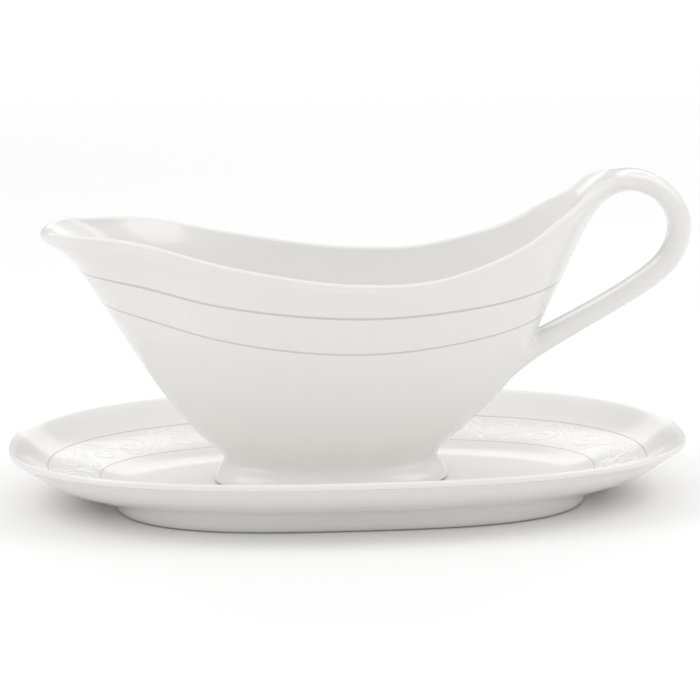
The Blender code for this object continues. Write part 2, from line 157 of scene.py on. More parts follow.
# The strap's middle line from the tail to the back wall, (x, height, thickness, half-width).
# A place on it is counted in these points.
STRAP_LINE = [
    (85.3, 100.3, 6.5, 17.0), (88.9, 104.9, 6.8, 13.6), (93.7, 108.6, 7.5, 10.4),
    (99.6, 110.4, 7.8, 8.1), (106.0, 109.2, 7.8, 7.1), (112.4, 105.2, 7.6, 6.9),
    (116.8, 99.0, 8.0, 6.8), (118.0, 93.0, 8.0, 6.8), (116.6, 86.6, 7.8, 6.8),
    (113.4, 81.2, 7.5, 6.8), (108.0, 76.2, 7.2, 6.8), (99.0, 70.2, 7.0, 6.8),
    (88.0, 63.9, 7.0, 6.9), (77.0, 57.9, 7.4, 7.2), (66.0, 51.9, 8.2, 8.0), (58.0, 47.6, 9.0, 9.0),
]
CRESCENT_PLACES = 3.6  # places over which its section turns from the tail's crescent to its own
STRAP_FLAT = 62  # degrees to each side that a broad face takes up in its section
STRAP_SQUARENESS = 2.5
FILLET = 3.6  # the fillet at its root, at the strap's edges
FILLET_SKEW = 1.9  # how much wider that is underneath, and tighter in the inner corner
ROOT_SEARCH = 4.5  # places before the line's end from where the root is looked for
BACK_WALL_SEARCH = 0.9  # radians round from the tail that the back wall takes up
SUNK = 0.4  # how deep the strap's hidden end is sunk into the wall
FILLET_SUNK = 0.08  # how deep the last line of its fillet is

# How far from the luted joins the skin is eased, and where: past this x and height at the strap's
# seam, and at the waist outside this squared share of the foot's size.
SEAM_EASING = 6.0
SEAM_EASING_FROM = (40, 90)
WAIST_EASING = 2.2
WAIST_EASING_FROM = 0.66

# The two lines round the bowl, (x, height of the upper one), and how far below it the lower is.
BOAT_LINE = [
    (-100, 82.8), (-86, 82.3), (-69, 79.8), (-52, 76.4), (-36, 74.0), (-19, 72.1), (-2, 70.9),
    (15, 70.6), (32, 71.3), (50, 72.6), (62, 74.1), (72, 75.6), (80, 76.4),
]
BOAT_LINE_DROP = [(-100, 10.4), (-69, 11.2), (-36, 12.3), (15, 12.3), (50, 11.2), (80, 10.0)]
BAND_SEARCH = (50, 95)  # heights that both lines lie between

# The scroll. Levels go from -1 to 1 up its band, and half-widths are shares of its weight.
HIGHEST_LEVEL = 0.9
STEM_SWING = 0.58
STEM_WIDTH = 0.5
VOLUTE_TURNS = 1.35
VOLUTE_RADIUS = 0.34  # share of the band's height
VOLUTE_CLOSING = 0.8  # share of that radius by which it winds in
VOLUTE_START = 0.3  # radians
VOLUTE_LEVEL = -0.18
VOLUTE_WIDTHS = (0.62, 0.32)
LEAF_FROM = 0.16  # share of a bend's length, from its middle
LEAF_LENGTH = 0.30
LEAF_LEVEL = 0.74
BUD_HALF_LENGTH = 0.9
BUD_LEVEL = 0.78

# How finely the surfaces are cut.
BOWL_RIBS = 256
TAIL_RIBS = 18
BOWL_ROWS = 64
ROW_CROWDING = 1.4  # a power that brings the bowl's rows closer together towards the rim
RIM_ROWS = 10
STRAP_STATIONS = 120
ROOT_STATIONS = 12
FOOT_ROWS = 22
OVAL_POINTS = 256
LINE_POINTS = 420
SMALL = 1e-3  # a step for slopes

# How bright the studio is all round, at the horizon and straight up.
HORIZON_LIGHT = 0.52
ZENITH_LIGHT = 0.95

# The camera: its direction and tilt in degrees, what it looks at, (x, height), its distance in
# metres, and its lens and sensor.
CAMERA_AZIMUTH = -4.365
CAMERA_ELEVATION = 11.467
CAMERA_ROLL = -0.505
CAMERA_TARGET = (0.99, 51.6)
CAMERA_DISTANCE = 0.999
CAMERA_LENS = 145.46
CAMERA_SENSOR = 36.0

# Colours, and how rough the glaze and the bare edges are.
WHITE = (0.88, 0.868, 0.845)
# The saucer's foot ring is a little darker and warmer than the glaze: painted shade for the shadow
# under the plate.
SHADED_RING_WHITE = (0.86, 0.845, 0.815)
BARE_WHITE = (0.74, 0.72, 0.68)
SCROLL_WHITE = (0.90, 0.89, 0.873)
LINE_GREY = (0.66, 0.635, 0.60)
FLOOR_WHITE = (0.96, 0.96, 0.96)
GLAZE_ROUGHNESS = 0.18
BARE_ROUGHNESS = 0.7
BARE_WAVER = 0.0006  # metres by which the upper limit of a bare edge wavers


# ---------------------------------------------------------------- curves


def spline(pairs):
    """A smooth curve through (input, output) pairs, as a function: the natural cubic spline."""
    at, to = np.array(pairs, float).T
    step = np.diff(at)
    slope = np.diff(to) / step
    count = len(at)
    rows = np.eye(count)
    right = np.zeros(count)
    for i in range(1, count - 1):
        rows[i, i - 1 : i + 2] = step[i - 1], 2 * (step[i - 1] + step[i]), step[i]
        right[i] = 6 * (slope[i] - slope[i - 1])
    bend = np.linalg.solve(rows, right)

    def value(x):
        x = np.clip(x, at[0], at[-1])
        i = np.clip(np.searchsorted(at, x) - 1, 0, count - 2)
        after = x - at[i]
        before = at[i + 1] - x
        cubic = (bend[i] * before**3 + bend[i + 1] * after**3) / (6 * step[i])
        low = (to[i] / step[i] - bend[i] * step[i] / 6) * before
        high = (to[i + 1] / step[i] - bend[i + 1] * step[i] / 6) * after
        return cubic + low + high

    return value


def ease(x, low, high):
    """0 below low, 1 above high, and smooth between them."""
    t = np.clip((x - low) / (high - low), 0, 1)
    return t * t * (3 - 2 * t)


def bell(x, width):
    """1 at zero, fading out on both sides over a width."""
    return np.exp(-((x / width) ** 2))


def crossing(value, low, high, rounds=36):
    """Where value, which rises through zero, crosses it between low and high, point by point."""
    low = np.array(low, float)
    high = np.array(high, float)
    for _ in range(rounds):
        middle = (low + high) / 2
        above = value(middle) > 0
        high = np.where(above, middle, high)
        low = np.where(above, low, middle)
    return (low + high) / 2


def unit(vectors):
    """The vectors at length one."""
    return vectors / np.linalg.norm(vectors, axis=-1, keepdims=True)


def oval(half_length, half_width, squareness, turns):
    """Plan points of an oval between an ellipse (2) and a rectangle."""
    c, s = np.cos(turns), np.sin(turns)
    x = half_length * np.copysign(np.abs(c) ** (2 / squareness), c)
    y = half_width * np.copysign(np.abs(s) ** (2 / squareness), s)
    return np.stack([x, y], axis=-1)


spout_side = spline(SPOUT_SIDE)
tail_side = spline(TAIL_SIDE)
side_wall = spline(SIDE_WALL)
rim_line = spline(RIM_LINE)
tail_fullness = spline(TAIL_FULLNESS)
boat_line = spline(BOAT_LINE)
boat_line_drop = spline(BOAT_LINE_DROP)
plate_top = spline(PLATE_TOP_LINE)
plate_thickness = spline(PLATE_THICKNESS_LINE)
foot_flare = spline(FOOT_FLARE)
strap_x, strap_z, strap_thickness, strap_half_width = (
    spline(list(enumerate(column))) for column in zip(*STRAP_LINE)
)


# ---------------------------------------------------------------- the boat's shape


def hull(angle, height):
    """The bowl's outer surface: angle 0 is the tail and pi the spout."""
    front = spout_side(height)
    back = tail_side(height)
    from_spout = np.pi - np.abs(angle)
    pinch = PINCH * ease(height, *PINCH_HEIGHTS) * bell(from_spout - PINCH_PLACE, PINCH_SPREAD)
    fuller = tail_fullness(height) * bell(angle, TAIL_SPREAD)
    egg = EGG * ease(height, *EGG_HEIGHTS)
    across = np.sin(angle) * (1 - pinch + fuller) - egg * np.sin(2 * angle)
    x = (front + back) / 2 + (back - front) / 2 * np.cos(angle)
    return np.stack([x, side_wall(height) * across, height + 0 * angle], axis=-1)


def hull_normal(angle, height):
    """The outward unit normal of the hull."""
    along = hull(angle + SMALL, height) - hull(angle - SMALL, height)
    up = hull(angle, height + SMALL) - hull(angle, height - SMALL)
    return unit(np.cross(along, up))


# The plane where the strap leaves the tail.
SEAM_MIDDLE, past_middle = np.array([(x, 0.0, z) for x, z, _, _ in STRAP_LINE[:2]])
SEAM_NORMAL = unit(past_middle - SEAM_MIDDLE)


def rim_height(angle):
    """The height where a rib of the hull reaches the outer edge of the rim."""

    def above_rim(height):
        return height - (rim_line(hull(angle, height)[..., 0]) - WALL / 2)

    return crossing(above_rim, RIM_SEARCH[0] + 0 * angle, RIM_SEARCH[1] + 0 * angle)


def past_seam(angle, height):
    """How far a point of the hull is past the plane where the strap leaves the tail."""
    return (hull(angle, height) - SEAM_MIDDLE) @ SEAM_NORMAL


def rib_top(angle):
    """Where a rib ends: at the rim, or at the strap's seam near the tail."""
    rim = rim_height(angle)
    seam = crossing(lambda height: past_seam(angle, height), SEAM_SEARCH + 0 * angle, rim)
    return np.where(past_seam(angle, rim) > 0, seam, rim)


# The rib that ends where the rim meets the strap.
CORNER = float(crossing(lambda angle: -past_seam(angle, rim_height(angle)), 0.01, 1.2))


def rib_angles():
    """One angle for each rib: TAIL_RIBS on each side of the tail's middle go into the strap."""
    tail = np.linspace(0, CORNER, TAIL_RIBS + 1)
    rest = np.linspace(CORNER, np.pi, BOWL_RIBS // 2 - TAIL_RIBS + 1)
    half = np.concatenate([tail, rest[1:]])
    return np.concatenate([half, -half[-2:0:-1]])


def wall_thickness(angle, share):
    """The wall is even, and thickens where the tail becomes the strap."""
    bulge = np.maximum(0.0, 1 - (angle / CORNER) ** 2)
    return WALL + (SEAM_THICKNESS - WALL) * bulge * ease(share, SWELL_FROM, 1)


def lip_roll(angle):
    """How far the rim's outer shoulder rolls in: nothing at the spout's tip and at the strap."""
    from_tip = ease(np.pi - np.abs(angle), *LIP_TIP_FADE)
    from_strap = ease(np.abs(angle), CORNER, CORNER + LIP_STRAP_FADE)
    return LIP_ROLL * from_tip * from_strap


def strap_frame(place):
    """The strap's middle and its outward direction at places along its line."""
    still = 0 * place
    middle = np.stack([strap_x(place), still, strap_z(place)], axis=-1)
    run = strap_x(place + SMALL) - strap_x(place - SMALL)
    rise = strap_z(place + SMALL) - strap_z(place - SMALL)
    return middle, unit(np.stack([-rise, still, run], axis=-1))


def strap_section(side_count, across_count):
    """The strap's rounded section, in half-widths and half-thicknesses and in the seam's order."""
    flat = math.radians(STRAP_FLAT)
    narrow = math.pi / 2 - flat
    wide = np.linspace(-flat, flat, across_count)
    side = np.linspace(-narrow, narrow, side_count + 2)[1:-1]
    turns = np.concatenate([wide - np.pi / 2, side, wide + np.pi / 2, side + np.pi])
    return oval(1, 1, STRAP_SQUARENESS, turns).T


def wall_distance(points):
    """How far points near the tail are outside the back wall, and the wall's normals there."""
    height = points[:, 2]
    side = np.abs(points[:, 1])
    widest = BACK_WALL_SEARCH + 0 * side
    angle = crossing(lambda a: hull(a, height)[:, 1] - side, 0 * side, widest)
    normal = hull_normal(angle, height)
    distance = (points[:, 0] - hull(angle, height)[:, 0]) * normal[:, 0]
    normal[:, 1] *= np.sign(points[:, 1])
    return distance, normal


# ---------------------------------------------------------------- meshes


def quads(lower, upper):
    """Four-sided faces between two closed lines of points."""
    return np.stack([lower, np.roll(lower, -1), np.roll(upper, -1), upper], axis=1)


class Skin:
    """Points and four-sided faces gathered line by line, each face tagged with its piece."""

    def __init__(self):
        self.points = []
        self.faces = []
        self.tags = []
        self.lids = {}
        self.count = 0

    def line(self, points):
        """Adds a line of points and gives back their numbers."""
        self.points.append(np.array(points, float))
        self.count += len(points)
        return np.arange(self.count - len(points), self.count)

    def band(self, tag, lower, upper, closed=True):
        """Faces between two lines of points."""
        faces = quads(lower, upper)
        if not closed:
            faces = faces[:-1]
        self.faces.append(faces)
        self.tags += [tag] * len(faces)

    def bands(self, tag, lines, closed=True):
        """Faces between each line of points and the next."""
        for lower, upper in zip(lines, lines[1:]):
            self.band(tag, lower, upper, closed)

    def lid(self, tag, *polygons):
        """Flat hidden faces that close one piece."""
        self.lids.setdefault(tag, []).extend([tuple(int(i) for i in p) for p in polygons])

    def fan(self, tag, line, middle):
        """Closes a line of points with triangles to a middle point."""
        centre = self.line([middle])[0]
        triangles = [(a, b, centre) for a, b in zip(line, np.roll(line, -1))]
        self.lid(tag, *triangles)

    def settle(self):
        """Joins what was gathered into arrays."""
        self.points = np.concatenate(self.points)
        self.faces = np.concatenate(self.faces)
        self.tags = np.array(self.tags)

    def relax(self, weight, rounds):
        """Lets points drift to the middle of their neighbours, as much as their weight says."""
        ahead = np.roll(self.faces, -1, axis=1)
        pairs = np.stack([self.faces.ravel(), ahead.ravel()], axis=1)
        pairs = np.unique(np.sort(pairs, axis=1), axis=0)
        pairs = pairs[pairs[:, 0] != pairs[:, 1]]
        moving = (weight[pairs] > 0.01).any(axis=1)
        pairs = pairs[moving]
        amount = np.bincount(pairs.ravel(), minlength=len(self.points))
        for _ in range(rounds):
            total = np.zeros_like(self.points)
            np.add.at(total, pairs[:, 0], self.points[pairs[:, 1]])
            np.add.at(total, pairs[:, 1], self.points[pairs[:, 0]])
            near = total / np.maximum(amount, 1)[:, None]
            step = np.where(amount[:, None] > 0, near - self.points, 0)
            self.points += 0.5 * weight[:, None] * step

    def normals(self):
        """Unit normals at the points, averaged over the skin's faces but not its lids."""
        a, b, c, d = (self.points[self.faces[:, k]] for k in range(4))
        across = np.cross(c - a, d - b)
        total = np.zeros_like(self.points)
        for k in range(4):
            np.add.at(total, self.faces[:, k], across)
        size = np.linalg.norm(total, axis=1, keepdims=True)
        return total / np.maximum(size, 1e-12)


def to_world(points):
    """Millimetres from the saucer's middle to the scene's metres."""
    return (np.asarray(points) + np.array([STAND_X, 0, 0])) * MM


def new_mesh_object(name, points, faces, material):
    """An object from points in millimetres, with its faces turned outward and shaded smooth."""
    used, index = np.unique(np.concatenate([np.array(f) for f in faces]), return_inverse=True)
    sizes = [len(f) for f in faces]
    ends = np.cumsum(sizes)
    own = [tuple(index[e - s : e].tolist()) for s, e in zip(sizes, ends)]
    mesh = bpy.data.meshes.new(name)
    mesh.from_pydata(to_world(np.asarray(points)[used]).tolist(), [], own)
    work = bmesh.new()
    work.from_mesh(mesh)
    bmesh.ops.recalc_face_normals(work, faces=work.faces)
    work.to_mesh(mesh)
    work.free()
    mesh.shade_smooth()
    mesh.materials.append(material)
    obj = bpy.data.objects.new(name, mesh)
    bpy.context.scene.collection.objects.link(obj)
    return obj, used


def cut_piece(skin, normals, name, tag, material):
    """One closed piece of a skin, shaded with the whole skin's normals so its seams don't show."""
    own = skin.faces[skin.tags == tag]
    faces = [tuple(f) for f in own.tolist()] + skin.lids.get(tag, [])
    obj, used = new_mesh_object(name, skin.points, faces, material)
    mesh = obj.data
    point_normals = normals[used]
    shading = np.zeros((len(mesh.loops), 3))
    for polygon in mesh.polygons:
        flat = np.array(polygon.normal)
        for loop in polygon.loop_indices:
            shading[loop] = flat
            if polygon.index < len(own):
                smooth = point_normals[mesh.loops[loop].vertex_index]
                side = smooth @ flat
                if abs(side) > 0.05:
                    shading[loop] = smooth * np.sign(side)
    mesh.normals_split_custom_set(shading.tolist())
    return obj


# ---------------------------------------------------------------- the boat


def bowl_lines(skin, angles):
    """The bowl's skin. Returns its lowest outer line and the seam's line of points."""
    count = len(angles)
    low = WAIST_HEIGHT
    roll = lip_roll(angles)
    tops = rib_top(angles) + roll / 2
    shares = 1 - np.linspace(1, 0, BOWL_ROWS) ** ROW_CROWDING
    near_tail = np.abs(angles) < CORNER * 1.01
    outer = []
    inner = []
    for share in shares:
        height = low + (tops - low) * share
        point = hull(angles, height)
        inside = point - hull_normal(angles, height) * wall_thickness(angles, share)[:, None]
        to_seam = ((inside - SEAM_MIDDLE) @ SEAM_NORMAL) * near_tail * ease(share, 0.9, 1)
        inside -= SEAM_NORMAL * to_seam[:, None]
        rolled = roll * np.maximum(0, 1 - (tops - height) / LIP_HEIGHT) ** 2
        point -= hull_normal(angles, height) * rolled[:, None]
        outer.append(skin.line(point))
        if inside[:, 2].min() > low + BOWL_FLOOR + FLOOR_CORNER:
            inner.append(skin.line(inside))
    inner.reverse()
    points = np.concatenate(skin.points)
    rim = rim_lines(skin, points[outer[-1]], points[inner[0]], points[outer[-2]])
    skirt = slice(TAIL_RIBS, count - TAIL_RIBS + 1)
    rim = [outer[-1][skirt]] + rim + [inner[0][skirt]]
    skin.bands("bowl", outer)
    skin.bands("bowl", rim, closed=False)
    edge = points[inner[-1]]
    floor = np.array([FOOT_MIDDLE, 0, low + BOWL_FLOOR])
    for share in (0.92, 0.83, 0.73, 0.62, 0.5, 0.36, 0.2):
        ring = floor + (edge - floor) * np.array([share, share, share**FLOOR_CURVE])
        inner.append(skin.line(ring))
    skin.bands("bowl", inner)
    skin.fan("bowl", inner[-1], floor)
    tail = np.arange(count - TAIL_RIBS, count + TAIL_RIBS + 1) % count
    near_end = [row[0] for row in rim[1:-1]]
    far_end = [row[-1] for row in rim[-2:0:-1]]
    return outer[0], np.concatenate([outer[-1][tail], near_end, inner[0][tail[::-1]], far_end])


def rim_lines(skin, edge, inside, below):
    """The rounded rim over the wall, from its outer edge to its inner edge."""
    count = len(edge)
    along = np.roll(edge, -1, axis=0) - np.roll(edge, 1, axis=0)
    along[TAIL_RIBS] = SEAM_NORMAL
    along[count - TAIL_RIBS] = SEAM_NORMAL
    across = (inside - edge) / 2
    rise = unit(np.cross(along, across)) * np.linalg.norm(across, axis=1, keepdims=True)
    rise *= np.sign(np.sum(rise * (edge - below), axis=1))[:, None]
    keep = slice(TAIL_RIBS, count - TAIL_RIBS + 1)
    lines = []
    for k in range(1, RIM_ROWS):
        turn = math.pi * k / RIM_ROWS
        row = (edge + inside) / 2 - across * math.cos(turn) + rise * math.sin(turn)
        lines.append(skin.line(row[keep]))
    return lines


def close_strip(skin, tag, ring, across):
    """Closes a strap's section: its underside's points face the same number on its top."""
    side = len(ring) // 2 - across
    over = ring[across + side : 2 * across + side][::-1]
    strips = [(ring[i], ring[i + 1], over[i + 1], over[i]) for i in range(across - 1)]
    sides = [tuple(ring[across - 1 : across + side + 1])]
    sides.append(tuple(ring[2 * across + side - 1 :]) + (ring[0],))
    skin.lid(tag, *strips, *sides)


def handle_lines(skin, seam):
    """The strap's skin, from the seam to where it flares out onto the back wall."""
    start = np.concatenate(skin.points)[seam]
    across_count = 2 * TAIL_RIBS + 1
    across, out = strap_section(len(seam) // 2 - across_count, across_count)
    start_middle, start_out = strap_frame(np.array(0.0))
    crescent_across = start[:, 1] / STRAP_LINE[0][3]
    crescent_out = (start - start_middle) @ start_out

    def strap_point(place):
        """The strap's section at places along its line, and its middle there."""
        middle, outward = strap_frame(place)
        share = ease(place, 0, CRESCENT_PLACES)
        aside = (crescent_across * (1 - share) + across * share) * strap_half_width(place)
        level = crescent_out * (1 - share) + out * strap_thickness(place) / 2 * share
        point = middle + outward * level[:, None]
        point[:, 1] += aside
        return point, middle

    # The fillet at the root is wide underneath and tight in the inner corner.
    fillet = FILLET + FILLET_SKEW * out
    last = len(STRAP_LINE) - 1

    def place_at(distance):
        """The places where the strap's skin is at a distance from the back wall."""

        def nearer(place):
            return distance - wall_distance(strap_point(place)[0])[0]

        return crossing(nearer, last - ROOT_SEARCH + 0 * out, last + 0 * out, rounds=24)

    root = place_at(fillet)
    lines = [seam]
    for i in range(1, STRAP_STATIONS + 1):
        lines.append(skin.line(strap_point(root * i / STRAP_STATIONS)[0]))
    for i in range(1, ROOT_STATIONS + 1):
        turn = math.pi / 2 * i / ROOT_STATIONS
        point, middle = strap_point(place_at(fillet * (1 - math.sin(turn))))
        normal = wall_distance(point)[1]
        away = point - middle
        away = unit(away - normal * np.sum(away * normal, axis=1)[:, None])
        point += away * (fillet * (1 - math.cos(turn)))[:, None]
        distance, normal = wall_distance(point)
        wanted = fillet * (1 - math.sin(turn)) - FILLET_SUNK * (i == ROOT_STATIONS)
        point += normal * (wanted - distance)[:, None]
        lines.append(skin.line(point))
    skin.bands("handle", lines)
    close_strip(skin, "bowl", seam, across_count)
    close_strip(skin, "handle", seam, across_count)
    close_root(skin, lines[-1], point)
    return lines[-1]


def close_root(skin, line, points):
    """Closes the strap's root with faces hidden in the back wall."""
    middle = points.mean(axis=0)
    for share in (0.66, 0.33):
        ring = skin.line(sunk_in_wall(middle + (points - middle) * share))
        skin.lid("handle", *quads(line, ring))
        line = ring
    skin.fan("handle", line, sunk_in_wall(middle[None])[0])


def sunk_in_wall(points):
    """The points moved until they lie a little inside the back wall."""
    for _ in range(6):
        distance, normal = wall_distance(points)
        points = points - normal * (distance + SUNK)[:, None]
    return points


def foot_lines(skin, waist, angles):
    """The pedestal: it flares from the waist to a rounded edge, and is hollow underneath."""
    top = np.concatenate(skin.points)[waist]
    waist_middle = np.array([FOOT_MIDDLE, 0, WAIST_HEIGHT])
    tall = WAIST_HEIGHT - FOOT_BOTTOM
    lines = [waist]

    def add_level(flare, inward, height):
        """A line between the waist's oval and the foot's, at a distance in and a height."""
        x, y = oval(FOOT_HALF_LENGTH - inward, FOOT_HALF_WIDTH - inward, FOOT_SQUARENESS, angles).T
        edge = np.stack([FOOT_MIDDLE + x, y, 0 * x], axis=1)
        waist_line = top - unit(top - waist_middle) * inward
        points = waist_line + (edge - waist_line) * flare
        points[:, 2] = height
        lines.append(skin.line(points))

    for i in range(1, FOOT_ROWS):
        share = FLARE_END * i / (FOOT_ROWS - 1)
        add_level(foot_flare(share), 0, WAIST_HEIGHT - tall * share)
    for inward, rise in FOOT_EDGE:
        add_level(1, inward, FOOT_BOTTOM + rise)
    for share in (0.8, 0.6, 0.4, 0.2, 0.0):
        add_level(foot_flare(share), FOOT_WALL, WAIST_HEIGHT - tall * share)
    for upper, lower in zip(lines, lines[1:]):
        skin.band("foot", lower, upper)
    hidden = quads(waist, lines[-1])
    skin.lid("foot", *hidden)
    # The bowl's underside runs in from the waist to the pedestal's hollow and closes it on top.
    skin.lid("bowl", *hidden)
    skin.fan("bowl", lines[-1], waist_middle)


def make_boat(glaze, foot_glaze):
    """The boat's skin, eased where its parts were luted together, and cut into three pieces."""
    skin = Skin()
    angles = rib_angles()
    waist, seam = bowl_lines(skin, angles)
    root = handle_lines(skin, seam)
    foot_lines(skin, waist, angles)
    skin.settle()
    seam_distance = np.abs((skin.points - SEAM_MIDDLE) @ SEAM_NORMAL)
    x, _, z = skin.points.T
    at_tail = (x > SEAM_EASING_FROM[0]) & (z > SEAM_EASING_FROM[1])
    skin.relax(bell(seam_distance, SEAM_EASING) * at_tail, rounds=60)
    waist_distance = np.abs(skin.points[:, 2] - WAIST_HEIGHT)
    from_middle = np.abs(skin.points[:, :2] - np.array([FOOT_MIDDLE, 0]))
    from_middle = (from_middle / np.array([FOOT_HALF_LENGTH, FOOT_HALF_WIDTH])) ** 2
    outside = from_middle.sum(axis=1) > WAIST_EASING_FROM
    skin.relax(bell(waist_distance, WAIST_EASING) * outside, rounds=40)
    normals = skin.normals()
    normals[root] = wall_distance(skin.points[root])[1]
    bowl = cut_piece(skin, normals, "boat_bowl", "bowl", glaze)
    handle = cut_piece(skin, normals, "boat_handle", "handle", glaze)
    foot = cut_piece(skin, normals, "boat_pedestal", "foot", foot_glaze)
    return bowl, handle, foot


# ---------------------------------------------------------------- the saucer


def plate_squareness(inset):
    """The squareness of the plate's oval, which falls from the rim inwards."""
    change = PLATE_INNER_SQUARENESS - PLATE_SQUARENESS
    return PLATE_SQUARENESS + change * inset / PLATE_HALF_WIDTH


def plate_oval(inset, turns):
    """The plate's oval at a distance in from its rim."""
    return oval(
        PLATE_HALF_LENGTH - inset, PLATE_HALF_WIDTH - inset, plate_squareness(inset), turns
    )


def ring_oval(inset, turns):
    """The foot ring's oval at a distance in from its outside."""
    return oval(RING_HALF_LENGTH - inset, RING_HALF_WIDTH - inset, RING_SQUARENESS, turns)


def plate_inset(plan):
    """How far in from the rim plan points lie."""

    def inside(inset):
        n = plate_squareness(inset)
        a, b = PLATE_HALF_LENGTH - inset, PLATE_HALF_WIDTH - inset
        return np.abs(plan[:, 0] / a) ** n + np.abs(plan[:, 1] / b) ** n - 1

    return crossing(inside, np.zeros(len(plan)), WELL_INSET + np.zeros(len(plan)))


def rim_sway(plan, inset):
    """The rim is a little lower at the ends than at the sides, fading out towards the well."""
    around = 2 * np.arctan2(plan[:, 1] / PLATE_HALF_WIDTH, plan[:, 0] / PLATE_HALF_LENGTH)
    return -PLATE_RIM_SWAY * np.cos(around) * (1 - ease(inset, 0, 30))


def on_plate_top(plan, inset):
    """Plan points that lie an inset in from the rim, lifted onto the plate's top."""
    height = plate_top(inset) + rim_sway(plan, inset)
    return np.column_stack([plan, height])


def under_plate(plan):
    """Plan points lifted onto the plate's underside."""
    inset = plate_inset(plan)
    top = plate_top(np.maximum(inset, PLATE_TOP_LINE[0][0]))
    height = top - plate_thickness(inset) + rim_sway(plan, inset)
    return np.column_stack([plan, height])


def plate_lines(skin, turns):
    """The plate, from its well over the rim and underneath to the foot, whose line it returns."""
    lines = []
    # The rows lie closer together where the top rises to the rim.
    for inset in np.concatenate([np.linspace(WELL_INSET, 14, 34), np.linspace(13, 2.4, 16)]):
        lines.append(skin.line(on_plate_top(plate_oval(inset, turns), inset)))
    skin.fan("plate", lines[0], (0, 0, WELL_HEIGHT))
    radius = plate_thickness(0) / 2
    for turn in np.radians(np.linspace(68, -80, 12)):
        inset = radius * (1 - math.cos(turn))
        plan = plate_oval(inset, turns)
        height = PLATE_RIM_HEIGHT - radius + radius * math.sin(turn) + rim_sway(plan, inset)
        lines.append(skin.line(np.column_stack([plan, height])))
    start = plate_oval(2.2, turns)
    end = ring_oval(-RING_FLARE, turns)
    for share in np.linspace(0, 1, 22):
        lines.append(skin.line(under_plate(start + (end - start) * share)))
    skin.bands("plate", lines)
    return lines[-1]


def ring_lines(skin, start, turns):
    """The foot ring, round its bearing edge to the plate again, where its last line is."""
    lines = [start]
    for inset, share in RING_PROFILE:
        points = under_plate(ring_oval(inset, turns))
        points[:, 2] *= share
        lines.append(skin.line(points))
    skin.bands("ring", lines)
    hidden = quads(start, lines[-1])
    skin.lid("ring", *hidden)
    skin.lid("plate", *hidden)
    return lines[-1]


def underside_lines(skin, start, turns):
    """The plate's underside within the foot ring."""
    plan = ring_oval(RING_PROFILE[-1][0], turns)
    lines = [start]
    for share in (0.9, 0.75, 0.6, 0.4, 0.2):
        lines.append(skin.line(under_plate(plan * share)))
    skin.bands("plate", lines)
    skin.fan("plate", lines[-1], under_plate(np.zeros((1, 2)))[0])


def make_saucer(glaze, foot_glaze):
    """The saucer's skin, cut into plate and foot ring."""
    skin = Skin()
    turns = np.linspace(0, 2 * np.pi, OVAL_POINTS, endpoint=False)
    joint = plate_lines(skin, turns)
    inside = ring_lines(skin, joint, turns)
    underside_lines(skin, inside, turns)
    skin.settle()
    normals = skin.normals()
    plate = cut_piece(skin, normals, "saucer_dish", "plate", glaze)
    # The ring's glaze carries painted shade: a little darker and warmer than the plate.
    ring = cut_piece(skin, normals, "saucer_ring", "ring", foot_glaze)
    return plate, ring


# ---------------------------------------------------------------- lines and scrolls


def boat_band(angle, share):
    """A point and its normal in the boat's band: share 0 is the lower line and 1 the upper."""

    def above(height):
        x = hull(angle, height)[..., 0]
        return height - boat_line(x) + boat_line_drop(x) * (1 - share)

    height = crossing(above, BAND_SEARCH[0] + 0 * angle, BAND_SEARCH[1] + 0 * angle)
    return hull(angle, height), hull_normal(angle, height)


def saucer_band(turn, share):
    """A point and its normal in the saucer's band: share 0 is the inner line and 1 the outer."""
    inset = PLATE_LINES[1] + (PLATE_LINES[0] - PLATE_LINES[1]) * (share + 0 * turn)

    def point(around, inward):
        return on_plate_top(plate_oval(inward, around), inward)

    here = point(turn, inset)
    along = point(turn + SMALL, inset) - point(turn - SMALL, inset)
    inward = point(turn, inset + SMALL) - point(turn, inset - SMALL)
    normal = unit(np.cross(along, inward))
    return here, normal * np.sign(normal[:, 2:])


def ribbon(skin, points, normals, half_width, rise, closed):
    """A low rounded ribbon that lies on a surface, sunk a little so that it has no gap under it."""
    along = np.roll(points, -1, axis=0) - np.roll(points, 1, axis=0)
    if not closed:
        along[0] = points[1] - points[0]
        along[-1] = points[-1] - points[-2]
    aside = unit(np.cross(normals, along))
    width = np.asarray(half_width)[..., None]
    sunk = -0.04 - 0.3 * rise
    half = [(1, sunk), (0.8, 0.14 * rise), (0.55, 0.52 * rise), (0.28, 0.86 * rise)]
    section = [(-across, level) for across, level in half] + [(0, rise)] + half[::-1]
    lines = []
    for across, level in section:
        lines.append(skin.line(points + aside * across * width + normals * level))
    skin.bands("ribbon", lines + lines[:1], closed)
    if not closed:
        skin.lid("ribbon", [line[0] for line in lines], [line[-1] for line in lines])


def ribbon_object(skin, name, material):
    """One object from a skin of ribbons."""
    skin.settle()
    faces = [tuple(f) for f in skin.faces.tolist()] + skin.lids.get("ribbon", [])
    obj, _ = new_mesh_object(name, skin.points, faces, material)
    obj.data.set_sharp_from_angle(angle=math.radians(60))
    return obj


def make_line(name, place, share, half_width, rise, material):
    """A fired line round the boat or the saucer."""
    skin = Skin()
    turns = np.linspace(-np.pi, np.pi, LINE_POINTS, endpoint=False)
    points, normals = place(turns, share)
    ribbon(skin, points, normals, half_width + 0 * turns, rise, closed=True)
    return ribbon_object(skin, name, material)


